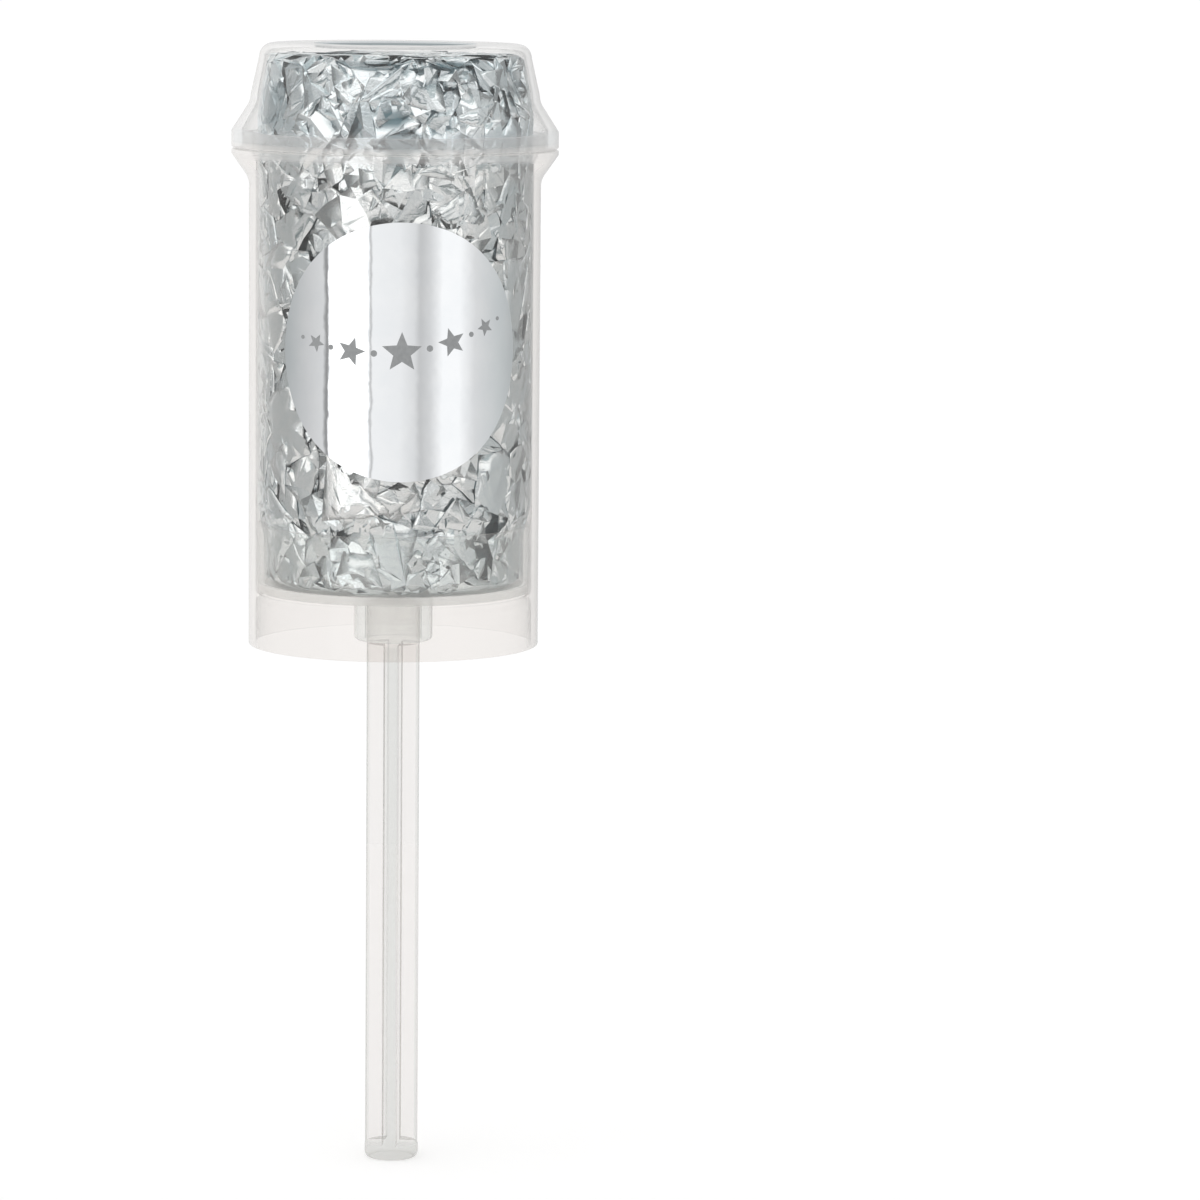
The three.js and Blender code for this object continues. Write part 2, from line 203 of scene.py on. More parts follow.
def turned(name, section, closed, sharp=40):
    """Turns a half section round the axis. An open one starts and ends on the axis. Faces that look
    towards the axis or lie inside get the second material."""
    rings = section if closed else section[1:-1]
    count = len(rings)
    points, faces = [], []
    for radius, height in rings:
        for i in range(SEGMENTS):
            angle = 2 * math.pi * i / SEGMENTS
            points.append((radius * math.sin(angle), -radius * math.cos(angle), height))
    for k in range(count if closed else count - 1):
        low, high = k * SEGMENTS, (k + 1) % count * SEGMENTS
        for i in range(SEGMENTS):
            j = (i + 1) % SEGMENTS
            faces.append((low + i, low + j, high + j, high + i))
    if not closed:
        for height, ring, turn in ((section[0][1], 0, 1), (section[-1][1], count - 1, -1)):
            points.append((0, 0, height))
            for i in range(SEGMENTS):
                j = (i + 1) % SEGMENTS
                a, b = ring * SEGMENTS + i, ring * SEGMENTS + j
                faces.append((len(points) - 1, b, a) if turn > 0 else (len(points) - 1, a, b))
    mesh = mesh_of(name, points, faces, sharp)
    for face in mesh.polygons:
        middle = Vector((face.center.x, face.center.y))
        inward = Vector((face.normal.x, face.normal.y)).dot(middle.normalized()) < -0.3
        face.material_index = 1 if inward else 0
    return mesh


# Camera

def add_camera():
    azimuth = math.radians(CAMERA_AZIMUTH)
    pan = azimuth + math.radians(CAMERA_PAN)
    tilt, roll = math.radians(CAMERA_TILT), math.radians(CAMERA_ROLL)
    forward = Vector((math.sin(pan) * math.cos(tilt), math.cos(pan) * math.cos(tilt), -math.sin(tilt)))
    right = Vector((math.cos(pan), -math.sin(pan), 0))
    up = right.cross(forward)
    right, up = right * math.cos(roll) + up * math.sin(roll), up * math.cos(roll) - right * math.sin(roll)
    data = bpy.data.cameras.new("camera")
    data.sensor_width = SENSOR
    data.lens = SENSOR * FOCAL_PIXELS / IMAGE_PIXELS
    data.clip_start, data.clip_end = 0.05, 50
    camera = bpy.data.objects.new("camera", data)
    scene.collection.objects.link(camera)
    back = Vector((-math.sin(azimuth), -math.cos(azimuth), 0))
    place = back * CAMERA_DISTANCE + Vector((0, 0, CAMERA_HEIGHT))
    matrix = camera.matrix_world.to_3x3()
    matrix.col[0], matrix.col[1], matrix.col[2] = right, up, -forward
    camera.matrix_world = matrix.to_4x4()
    camera.location = place * MM
    scene.camera = camera


add_camera()


# Node helpers

class Nodes:
    """Short calls for building a node tree."""

    def __init__(self, tree):
        self.tree = tree
        tree.nodes.clear()

    def add(self, kind, inputs=(), **settings):
        node = self.tree.nodes.new(kind)
        for key, value in settings.items():
            setattr(node, key, value)
        for key, value in dict(inputs).items():
            self.set(node.inputs[key], value)
        return node

    def set(self, socket, value):
        if isinstance(value, bpy.types.NodeSocket):
            self.tree.links.new(value, socket)
        else:
            socket.default_value = value

    def math(self, operation, *values, clamp=False):
        node = self.add("ShaderNodeMath", operation=operation, use_clamp=clamp)
        for socket, value in zip(node.inputs, values):
            self.set(socket, value)
        return node.outputs[0]

    def ramp(self, value, low, high, out_low=0.0, out_high=1.0, smooth=False):
        node = self.add("ShaderNodeMapRange", interpolation_type="SMOOTHSTEP" if smooth else "LINEAR")
        for socket, number in zip(node.inputs, (value, low, high, out_low, out_high)):
            self.set(socket, number)
        return node.outputs[0]

    def mix(self, factor, a, b, kind="MIX"):
        node = self.add("ShaderNodeMix", data_type="RGBA", blend_type=kind)
        for index, value in ((0, factor), (6, a), (7, b)):
            self.set(node.inputs[index], value)
        return node.outputs[2]

    def blend(self, factor, a, b):
        node = self.add("ShaderNodeMixShader")
        for socket, value in zip(node.inputs, (factor, a, b)):
            self.set(socket, value)
        return node.outputs[0]

    def place(self):
        """The point in the frame, in millimetres."""
        geometry = self.add("ShaderNodeTexCoord")
        scale = self.add("ShaderNodeVectorMath", {0: geometry.outputs["Object"]}, operation="SCALE")
        self.set(scale.inputs["Scale"], 1 / MM)
        return scale.outputs[0]

    def noise(self, place, scale, detail=3.0, roughness=0.5):
        inputs = {"Vector": place, "Scale": scale, "Detail": detail, "Roughness": roughness}
        return self.add("ShaderNodeTexNoise", inputs).outputs["Fac"]

    def end(self, shader):
        output = self.add("ShaderNodeOutputMaterial")
        self.tree.links.new(shader, output.inputs["Surface"])


def material(name):
    made = bpy.data.materials.new(name)
    made.use_nodes = True
    return made, Nodes(made.node_tree)


def radius_of(n, place):
    """Distance from the axis and height of a point, in millimetres."""
    split = n.add("ShaderNodeSeparateXYZ", {0: place})
    x, y, z = split.outputs
    squares = n.math("ADD", n.math("MULTIPLY", x, x), n.math("MULTIPLY", y, y))
    return n.math("SQRT", squares), z


def clear_plastic(name, tint, milk, haze, edge_haze, power=2.0, zone=None, zone_haze=0.0, far=0.2,
                  deep=None, deep_tint=(1, 1, 1)):
    """Clear moulded plastic: it lets light through with a slight tint, turns milky towards its
    edges, and mirrors a little. A zone may be milkier, and a deep place, where light has more plastic
    to cross, darker. The far side of a wall shows fainter."""
    made, n = material(name)
    place = n.place()
    facing = n.add("ShaderNodeLayerWeight", {"Blend": 0.5}).outputs["Facing"]
    cloud = n.ramp(n.noise(place, 0.09, 3), 0.3, 0.7, 0.8, 1.2)
    fog = n.ramp(n.math("POWER", facing, power), 0, 1, haze, edge_haze)
    fog = n.math("MULTIPLY", fog, cloud, clamp=True)
    if zone is not None:
        fog = n.math("ADD", fog, n.math("MULTIPLY", zone(n, place), zone_haze), clamp=True)
    behind = n.add("ShaderNodeNewGeometry").outputs["Backfacing"]
    fade = n.ramp(behind, 0, 1, 1, far)
    fog = n.math("MULTIPLY", fog, fade)
    outline = n.math("MULTIPLY", n.math("POWER", facing, OUTLINE_POWER), OUTLINE)
    shade = n.mix(outline, (*tint, 1), (*[c * 0.6 for c in tint], 1))
    if deep is not None:
        shade = n.mix(deep(n, place), shade, (*[a * b for a, b in zip(tint, deep_tint)], 1))
    through = n.mix(fade, (1, 1, 1, 1), shade)
    clear = n.add("ShaderNodeBsdfTransparent", {"Color": through}).outputs[0]
    streak = n.ramp(n.noise(place, 0.35, 4), 0.35, 0.65)
    milk_color = n.mix(streak, (*milk, 1), (*[c * 0.96 for c in milk], 1))
    front = n.add("ShaderNodeBsdfDiffuse", {"Color": milk_color}).outputs[0]
    back = n.add("ShaderNodeBsdfTranslucent", {"Color": milk_color}).outputs[0]
    body = n.blend(fog, clear, n.blend(0.15, front, back))
    wave = n.noise(place, 0.16, 2)
    ripple = n.add("ShaderNodeBump", {"Strength": 0.12, "Distance": 0.0002, "Height": wave})
    rough = n.ramp(n.noise(place, 0.6, 4), 0.3, 0.7, 0.12, 0.2)
    gloss = n.add("ShaderNodeBsdfGlossy", {"Roughness": rough, "Normal": ripple.outputs[0]}).outputs[0]
    shine = n.math("ADD", n.math("MULTIPLY", n.math("POWER", facing, 5.0), 0.45), 0.03)
    shine = n.math("MULTIPLY", shine, fade)
    n.end(n.blend(shine, body, gloss))
    return made


def stick_depth(n, place):
    """Where the stick is looked at along a fin or through its foot."""
    radius, z = radius_of(n, place)
    tip = n.ramp(radius, FIN_REACH - 0.35, FIN_REACH - 0.1, smooth=True)
    tip = n.math("MULTIPLY", tip, n.ramp(z, PLUG_BOTTOM - 0.5, PLUG_BOTTOM, 1.0, 0.0))
    foot = n.ramp(z, FOOT_HEIGHT, FOOT_HEIGHT + 0.5, 0.8, 0.0, smooth=True)
    return n.math("MAXIMUM", tip, foot)


def band(low_start, low_end, high_start, high_end):
    """A zone of heights that fades in and out."""
    def zone(n, place):
        z = radius_of(n, place)[1]
        rise = n.ramp(z, low_start, low_end, smooth=True)
        fall = n.ramp(z, high_start, high_end, 1.0, 0.0, smooth=True)
        return n.math("MULTIPLY", rise, fall)
    return zone


def either(zone, share, other):
    """One zone, joined by a weaker one."""
    def joined(n, place):
        return n.math("MAXIMUM", zone(n, place), n.math("MULTIPLY", other(n, place), share))
    return joined


# Clear pieces

def barrel_section():
    bead = (FLANGE_TOP + NECK_TOP) / 2
    return rounded([
        (BORE_RADIUS, BARREL_BOTTOM),
        (BARREL_RADIUS, BARREL_BOTTOM),
        *flare(BARREL_RADIUS, COLLAR_BOTTOM, RING_RADIUS, FLANGE_BOTTOM, FLARE_FILLET),
        (RING_RADIUS, FLANGE_TOP),
        (NECK_RADIUS, FLANGE_TOP),
        (NECK_RADIUS, bead - 0.5),
        (NECK_RADIUS + BEAD, bead - 0.15),
        (NECK_RADIUS + BEAD, bead + 0.15),
        (NECK_RADIUS, bead + 0.5),
        (NECK_RADIUS, NECK_TOP),
        (NECK_INNER, NECK_TOP),
        (NECK_INNER, FLANGE_BOTTOM),
        (BORE_RADIUS, FLANGE_BOTTOM - 2 * (NECK_INNER - BORE_RADIUS)),
        (BORE_RADIUS, LEDGE_TOP),
        (BORE_RADIUS - LEDGE_DEPTH, LEDGE_TOP - 0.2),
        (BORE_RADIUS - LEDGE_DEPTH, LEDGE_BOTTOM + RIM_ROUND),
        (BORE_RADIUS, LEDGE_BOTTOM - RIM_ROUND),
    ], RIM_ROUND)


def cap_inner(height):
    """Radius of the cap's inner wall at a height."""
    share = (height - CAP_WALL_FOOT) / (CAP_TOP - CAP_WALL_FOOT)
    return CAP_FOOT_RADIUS + (CAP_TOP_RADIUS - CAP_FOOT_RADIUS) * share - CAP_WALL


def cap_section():
    edge = CAP_TOP_RADIUS - CAP_EDGE_ROUND
    inner_round = CAP_EDGE_ROUND - CAP_WALL
    shoulder = flare(cap_inner(CAP_WALL_FOOT), CAP_WALL_FOOT, CAP_RIM_INNER, CAP_SHOULDER,
                     FLARE_FILLET + CAP_WALL)
    outside = [
        *arc(edge, CAP_TOP - CAP_EDGE_ROUND, CAP_EDGE_ROUND, 90, 0, 12),
        *flare(CAP_FOOT_RADIUS, CAP_WALL_FOOT, RING_RADIUS, CAP_RIM_TOP, FLARE_FILLET),
        (RING_RADIUS, CAP_BOTTOM),
        (CAP_RIM_INNER, CAP_BOTTOM),
        *shoulder[::-1],
        *arc(cap_inner(CAP_CEILING) - inner_round, CAP_CEILING - inner_round, inner_round, 0, 90, 8),
    ]
    low = CAP_TOP - RECESS_DEPTH
    recess = [(0, low + GATE_HEIGHT), (GATE_RADIUS, low + GATE_HEIGHT), (GATE_RADIUS + 0.15, low),
              (RECESS_RADIUS - 0.06, low), (RECESS_RADIUS, CAP_TOP)]
    section = rounded([*recess, *outside, (0, CAP_CEILING)], RIM_ROUND, closed=False)
    return section[::-1]


def plunger_section():
    return rounded([
        (0, SOCKET_TOP),
        (SOCKET_RADIUS, SOCKET_TOP),
        (SOCKET_RADIUS, HUB_BOTTOM),
        *arc(HUB_RADIUS - HUB_ROUND, HUB_BOTTOM + HUB_ROUND, HUB_ROUND, -90, 0, 6),
        *arc(HUB_RADIUS + HUB_ROUND, PLUNGER_BOTTOM - HUB_ROUND, HUB_ROUND, 180, 90, 6),
        (PLUNGER_RADIUS, PLUNGER_BOTTOM),
        (PLUNGER_RADIUS, PLUNGER_TOP),
        (PLUNGER_INNER, PLUNGER_TOP),
        (PLUNGER_INNER, PLUNGER_FLOOR),
        (0, PLUNGER_FLOOR),
    ], RIM_ROUND, closed=False)


def fins_mesh():
    """The cross of four fins, from inside the foot to the plug, with round tips and hollow roots."""
    root = FIN_HALF + FIN_FILLET
    quarter = [
        *arc(FIN_REACH - FIN_BEVEL, FIN_BEVEL - FIN_HALF, FIN_BEVEL, -90, 0, 4),
        *arc(FIN_REACH - FIN_BEVEL, FIN_HALF - FIN_BEVEL, FIN_BEVEL, 0, 90, 4),
        *arc(root, root, FIN_FILLET, 270, 180, 5),
    ]
    outline = []
    for turn in range(4):
        angle = math.radians(90 * turn + STICK_ANGLE)
        c, s = math.cos(angle), math.sin(angle)
        outline += [(x * c - y * s, x * s + y * c) for x, y in quarter]
    count = len(outline)
    levels = [FOOT_HEIGHT / 2, *np.linspace(6, 86, 9), PLUG_BOTTOM + 0.3]
    points = [(x, y, z) for z in levels for x, y in outline]
    faces = [tuple(reversed(range(count))), tuple(range(len(points) - count, len(points)))]
    for k in range(len(levels) - 1):
        for i in range(count):
            j = (i + 1) % count
            faces.append((k * count + i, k * count + j, (k + 1) * count + j, (k + 1) * count + i))
    return mesh_of("fins", points, faces)


def stick_mesh():
    plug = rounded([(0, PLUG_BOTTOM), (PLUG_RADIUS, PLUG_BOTTOM), (PLUG_RADIUS, PLUG_TOP - 0.6),
                    (PLUG_RADIUS - 0.6, PLUG_TOP), (0, PLUG_TOP)], 0.2, closed=False)
    foot = rounded([(0, 0), *arc(FOOT_RADIUS - FOOT_ROUND, FOOT_ROUND, FOOT_ROUND, -90, 0, 8),
                    (FOOT_RADIUS, FOOT_HEIGHT), (0, FOOT_HEIGHT)], 0.35, closed=False)
    whole = bpy.data.objects.new("whole", fins_mesh())
    scene.collection.objects.link(whole)
    tools = []
    for name, section in (("plug", plug), ("foot", foot)):
        tool = bpy.data.objects.new(name, turned(name, section, False))
        scene.collection.objects.link(tool)
        union = whole.modifiers.new(name, "BOOLEAN")
        union.operation, union.object, union.solver = "UNION", tool, "EXACT"
        tools.append(tool)
    bpy.context.view_layer.update()
    mesh = bpy.data.meshes.new_from_object(whole.evaluated_get(bpy.context.evaluated_depsgraph_get()))
    for obj in (whole, *tools):
        bpy.data.objects.remove(obj)
    mesh.polygons.foreach_set("use_smooth", [True] * len(mesh.polygons))
    mesh.set_sharp_from_angle(angle=math.radians(35))
    return mesh


# How dark and how narrow the plastic's outline is, its tint and its milkiness
OUTLINE, OUTLINE_POWER = 0.6, 7
WARM = (0.9, 0.872, 0.85)
MILK = (0.995, 0.98, 0.965)

# Milky and deep zones where the flange, the neck and the cap's rim seat in each other
flange_zone = either(band(174, 175.3, 176.2, 177), 0.5, band(176, 177, 179, 180))
rim_zone = either(band(175, 176.2, 176.9, 178), 0.65, band(176.6, 177.6, 178.9, 180))

barrel_look = clear_plastic("barrel_plastic", WARM, MILK, 0.04, 0.8, 3, flange_zone, 0.32, far=0.06,
                            deep=band(176.2, 177.2, 178.9, 180), deep_tint=(0.91, 0.935, 0.95))
cap_look = clear_plastic("cap_plastic", (0.965, 0.96, 0.955), MILK, 0.04, 0.8, 3, rim_zone, 0.24,
                         deep=band(176.6, 177.6, 178.9, 180), deep_tint=(0.89, 0.915, 0.93))
plunger_look = clear_plastic("plunger_plastic", (0.945, 0.97, 0.965), MILK, 0.1, 0.6, 3,
                             band(98, 99.9, 101.3, 101.8), 0.35)
inner_look = clear_plastic("inner_plastic", (0.997, 0.996, 0.995), MILK, 0.004, 0.5, 4, far=0.5)
stick_look = clear_plastic("stick_plastic", (0.928, 0.915, 0.907), MILK, 0.06, 0.6, 3, far=0.6,
                           deep=stick_depth, deep_tint=(0.9, 0.915, 0.91))
# The wall of the recess in the cap's top is painted shade: tinted dark, and darker still at its foot.
recess_shade_look = clear_plastic("recess_painted_shade", (0.62, 0.65, 0.66), MILK, 0.02, 0.1,
                            deep=band(193, 193.2, 193.55, 193.8), deep_tint=(0.5, 0.54, 0.55))

link("barrel_clear", turned("barrel_clear", barrel_section(), True), "barrel", (barrel_look, inner_look),
     "barrel_plastic", "barrel")

cap_mesh = turned("cap_clear", cap_section(), False)
# Inward faces in the recess take the painted shade.
for face in cap_mesh.polygons:
    if face.material_index == 1 and face.center.z > (CAP_TOP - RECESS_DEPTH) * MM:
        face.material_index = 2
link("cap_clear", cap_mesh, "cap", (cap_look, inner_look, recess_shade_look), "cap_plastic", "cap")
link("plunger_clear", turned("plunger_clear", plunger_section(), False), "plunger",
     (plunger_look, inner_look), "plunger_plastic", "plunger")
link("stick_clear", stick_mesh(), "stick", stick_look, "stick_plastic", "stick")


# Foil

# Room between the foil and the barrel, the cap and the plunger's guide wall
WALL_CLEAR = 0.15
CAP_CLEAR = 0.5
CUP_CLEAR = 0.06

# Heights of the foil: where the cup's share starts and ends, where the cap's starts, and its top edge
CUP_FOIL_LOW, CUP_FOIL_HIGH = 101.9, 112
WALL_FOIL_LOW = 112.2
CAP_FOIL_LOW = 172
FOIL_TOP = 190.3
FLOOR_LIFT = 0.35
DISC_REACH = 18.5
FILM = 0.04

# Flakes: deepest place, step and stray of a torn edge, facets, cracks and their painted shade, and the
# column's lean
DEEPEST = 2.2
TEAR_STEP = 2.6
TEAR = 0.3
FACET_ANGLE = 2
GROOVE_HALF, GROOVE_DEPTH = 0.24, 1
GROOVE_SHADE = 0.55
FOIL_LEAN = 0.08

# Hollows in the imported foil: angle from the front, height, half width, half height along the wall,
# depth, and the painted shade they get
HOLLOWS = (
    (-15, 194.7, 8, 4.5, 3, 1.8),
    (-17, 198, 10, 7, 1.5, 0.3),
    (22, 192.8, 4, 3, 1.3, 0.8),
    (14, 188, 3, 2.4, 0.9, 0.5),
    (0, 177.4, 4.5, 3.4, 1.2, 0.7),
    (-5, 182.5, 4, 2, 1.3, 0.8),
    (17, 181.2, 2.2, 1.8, 1.8, 1.1),
    (-32, 181.6, 3.2, 2.4, 1.2, 0.8),
    (-68, 183.6, 5, 5, 1.7, 1.5),
    (65, 187.8, 4, 4.5, 1.4, 0.4),
    (-4, 173, 2.6, 2.2, 1, 0.6),
)

# Where the foil lies smooth, in degrees from the front: bands of the front as middle, half width and
# how smooth, and where the smooth sides start and are full
CALM_BANDS = ((-17, 15, 0.85), (26, 13, 0.92))
CALM_LEFT = (32, 52)
CALM_RIGHT = (38, 48)

# How much of the folds, crinkles, cracks and depth a smooth place loses, and the depth from which a
# layer counts as an under layer
CALM_FOLD, CALM_CREASE, CALM_CRACK = 0.94, 0.86, 0.4
CALM_DEPTH, CALM_UNDER_DEPTH = 0.62, 0.2
UNDER = 0.8


def foil_path():
    """The line that the outermost foil follows, as (radius, height): up the cup, the barrel and the
    cap, and in over the top."""
    cup = PLUNGER_INNER - CUP_CLEAR
    wall = BORE_RADIUS - WALL_CLEAR
    cap = cap_inner(FOIL_TOP) - CAP_CLEAR
    path = [(cup - 1.5, 101.65), (cup, 102.6), (cup, PLUNGER_TOP), (cup + 0.7, 112.6), (wall - 0.2, 114)]
    path += [(wall, 115.5), (wall, 182)]
    path += [(cap_inner(z) - CAP_CLEAR, z) for z in (186, 188)]
    path += arc(cap - 2, FOIL_TOP, 2, 0, 90, 5)
    path.append((0, FOIL_TOP + 2))
    return np.array(path)


PATH = foil_path()
STEPS = np.linalg.norm(np.diff(PATH, axis=0), axis=1)
ALONG = np.concatenate(([0], np.cumsum(STEPS)))


def along_of(height):
    """Length along the path up to a height on its wall."""
    rising = PATH[:, 1] <= FOIL_TOP + 0.1
    return float(np.interp(height, PATH[rising, 1], ALONG[rising]))


def on_wall(u, s, depth):
    """Points of the foil's wall, from lengths round it and along the path, and depths under it."""
    s = np.clip(s, 0, ALONG[-1] - 0.5)
    radius, height = np.interp(s, ALONG, PATH[:, 0]), np.interp(s, ALONG, PATH[:, 1])
    ahead, behind = np.clip(s + 0.8, 0, ALONG[-1]), np.clip(s - 0.8, 0, ALONG[-1])
    run = np.interp(ahead, ALONG, PATH[:, 0]) - np.interp(behind, ALONG, PATH[:, 0])
    rise = np.interp(ahead, ALONG, PATH[:, 1]) - np.interp(behind, ALONG, PATH[:, 1])
    length = np.hypot(run, rise)
    radius = radius - depth * rise / length
    height = height + depth * run / length
    angle = u / BORE_RADIUS
    lean = FOIL_LEAN * np.clip((height - PLUNGER_TOP) / 3, 0, 1)
    return np.stack([radius * np.sin(angle) + lean, -radius * np.cos(angle), height], 1)


def on_floor(x, y, depth):
    """Points of the foil that lies on the plunger's floor."""
    return np.stack([x, y, PLUNGER_FLOOR + FLOOR_LIFT + depth], 1)


def on_top(x, y, depth):
    """Points of the foil under the cap's top."""
    return np.stack([x, y, PATH[-1, 1] - depth], 1)


def torn_outline(rng, size):
    """The outline of a torn flake: a few sides, none quite straight."""
    sides = rng.choice((3, 4, 4, 5, 5))
    stretch = rng.uniform(0.5, 1)
    start = rng.uniform(0, 2 * math.pi)
    corners = []
    for i in range(sides):
        angle = start + 2 * math.pi * (i + rng.uniform(-0.28, 0.28)) / sides
        reach = size / 2 * rng.uniform(0.8, 1.3)
        corners.append(Vector((reach * math.cos(angle), reach * math.sin(angle) * stretch)))
    outline = []
    for i, corner in enumerate(corners):
        after = corners[(i + 1) % sides]
        pieces = max(1, round((after - corner).length / TEAR_STEP))
        across = (after - corner).orthogonal().normalized()
        for k in range(pieces):
            stray = 0 if k == 0 else rng.uniform(-TEAR, TEAR)
            outline.append(corner.lerp(after, k / pieces) + across * stray)
    return outline


def chord(outline, normal, offset):
    """Where a straight fold enters and leaves an outline, or nothing if it misses it."""
    cuts = []
    for i, a in enumerate(outline):
        b = outline[i - 1]
        before, behind = a.dot(normal) - offset, b.dot(normal) - offset
        if (before > 0) != (behind > 0):
            cuts.append(a.lerp(b, before / (before - behind)))
    cuts.sort(key=normal.orthogonal().dot)
    return [cuts[0], cuts[-1]] if len(cuts) > 1 else []


def groove_plan(rng, size, outline, longest):
    """A short sharp crack in a flake: its middle, half length, direction and rim, or None where it
    would leave the flake."""
    middle = Vector((rng.uniform(-0.25, 0.25) * size, rng.uniform(-0.25, 0.25) * size))
    angle = rng.uniform(0, math.pi)
    run = Vector((math.cos(angle), math.sin(angle)))
    reach = size * rng.uniform(0.1, longest)
    across = run.orthogonal() * GROOVE_HALF
    rim = [middle - run * reach, middle + across, middle + run * reach, middle - across]
    if any(not is_inside(p, outline) or edge_distance(p, outline) < 0.4 for p in rim):
        return None
    return middle, reach, run, rim


def groove_depth(flat, grooves):
    """How deep the cracks of a flake are at its points."""
    deep = np.zeros(len(flat))
    for middle, reach, run, _ in grooves:
        off = flat - np.array(middle)
        along = np.abs(off @ np.array(run)) / reach
        across = np.abs(off @ np.array(run.orthogonal())) / GROOVE_HALF
        share = np.clip((1 - along - across) / np.maximum(1 - along, 1e-6), 0, 1)
        deep = np.maximum(deep, share * np.clip(2.5 * (1 - along), 0, 1) * GROOVE_DEPTH)
    return deep


def flake_plan(rng, size, settings):
    """A torn flake, cut into flat facets along its folds: its points lying flat, its triangles, the
    depths that the folds give, and the depths of its cracks. The settings are the slope of a fold, the
    height of the crinkles, the number of folds, the size of a facet and the longest crack."""
    fold, crease, folds, facet, crack = settings
    outline = torn_outline(rng, size)
    count = len(outline)
    points, edges = list(outline), [(i, (i + 1) % count) for i in range(count)]
    bends = []
    for _ in range(rng.randint(folds - 1, folds + 1)):
        angle = rng.uniform(0, math.pi)
        normal = Vector((math.cos(angle), math.sin(angle)))
        offset = rng.uniform(-0.34, 0.34) * size
        bends.append((normal, offset, rng.choice((-1, 1)) * rng.uniform(0.25, 1) * fold))
        ends = chord(outline, normal, offset)
        if ends:
            edges.append((len(points), len(points) + 1))
            points += ends
    grooves = [groove_plan(rng, size, outline, crack) for _ in range(rng.choice((0, 1, 1, 2)))]
    grooves = [groove for groove in grooves if groove]
    for middle, reach, run, rim in grooves:
        first = len(points)
        points += rim + [middle - run * reach * 0.6, middle + run * reach * 0.6]
        edges += [(first, first + 1), (first + 1, first + 2), (first + 2, first + 3), (first + 3, first)]
        edges += [(first, first + 4), (first + 4, first + 5), (first + 5, first + 2)]
    for _ in range(round((size / facet) ** 2)):
        p = Vector((rng.uniform(-0.6, 0.6) * size, rng.uniform(-0.6, 0.6) * size))
        if is_inside(p, outline) and edge_distance(p, outline) > 0.5:
            points.append(p)
    flat, _, faces, *_ = delaunay_2d_cdt(points, edges, [list(range(count))], 1, 1e-4)
    border = np.array([edge_distance(p, outline) for p in flat])
    flat = np.array([tuple(p) for p in flat])
    depth = flat @ np.array([rng.uniform(-1, 1), rng.uniform(-1, 1)]) * fold * 0.4
    for normal, offset, strength in bends:
        depth += strength * np.abs(flat @ np.array(normal) - offset)
    depth -= np.median(depth)
    loose = np.clip(0.45 + border, 0, 1) * crease
    depth += loose * np.array([rng.gauss(0, 1) for _ in range(len(flat))])
    return flat, [tuple(f) for f in faces], depth, groove_depth(flat, grooves)


def is_inside(p, outline):
    """Whether a point lies in an outline."""
    inside = False
    for i, a in enumerate(outline):
        b = outline[i - 1]
        if (a.y > p.y) != (b.y > p.y) and p.x < (b.x - a.x) * (p.y - a.y) / (b.y - a.y) + a.x:
            inside = not inside
    return inside


def edge_distance(p, outline):
    """How far a point lies from an outline's nearest edge."""
    best = 1e9
    for i, a in enumerate(outline):
        b = outline[i - 1]
        run = b - a
        t = max(0, min(1, (p - a).dot(run) / run.length_squared))
        best = min(best, (p - a - run * t).length)
    return best


class Foil:
    """Gathers flakes into one mesh, with each point's tone, and its depth value, which also carries painted
    shade.
    """

    def __init__(self):
        self.points, self.faces, self.tones, self.depths = [], [], [], []
        self.count = 0

    def add(self, points, faces, tone, depth):
        self.points.append(points)
        self.faces += [tuple(i + self.count for i in f) for f in faces]
        self.tones.append(np.full(len(points), tone))
        self.depths.append(depth)
        self.count += len(points)

    def mesh(self, name, thickness):
        """A closed film: each flake has an inner side and a rim as well."""
        points = np.concatenate(self.points)
        mesh = mesh_of(name, points, self.faces, FACET_ANGLE)
        for key, values in (("tone", self.tones), ("depth", self.depths)):
            layer = mesh.attributes.new(key, "FLOAT", "POINT")
            layer.data.foreach_set("value", np.concatenate(values).astype(np.float32))
        obj = bpy.data.objects.new(name, mesh)
        scene.collection.objects.link(obj)
        shell = obj.modifiers.new("film", "SOLIDIFY")
        shell.thickness, shell.offset = thickness * MM, -1
        bpy.context.view_layer.update()
        thick = bpy.data.meshes.new_from_object(obj.evaluated_get(bpy.context.evaluated_depsgraph_get()))
        bpy.data.objects.remove(obj)
        thick.name = name
        return thick


def hollows(u, s):
    """How much deeper the foil lies in its hollows, at lengths round the wall and along the path, and
    how much painted shade it gets there."""
    around = 2 * math.pi * BORE_RADIUS
    deeper, shaded = np.zeros(len(u)), np.zeros(len(u))
    for angle, height, half_width, half_height, depth, shade in HOLLOWS:
        across = (u - math.radians(angle) * BORE_RADIUS + around / 2) % around - around / 2
        along = s - along_of(min(height, FOIL_TOP)) - max(0, height - FOIL_TOP)
        inside = np.clip(2 - 2 * (across / half_width) ** 2 - 2 * (along / half_height) ** 2, 0, 1)
        deeper = np.maximum(deeper, depth * inside)
        shaded = np.maximum(shaded, shade * inside)
    return deeper, shaded


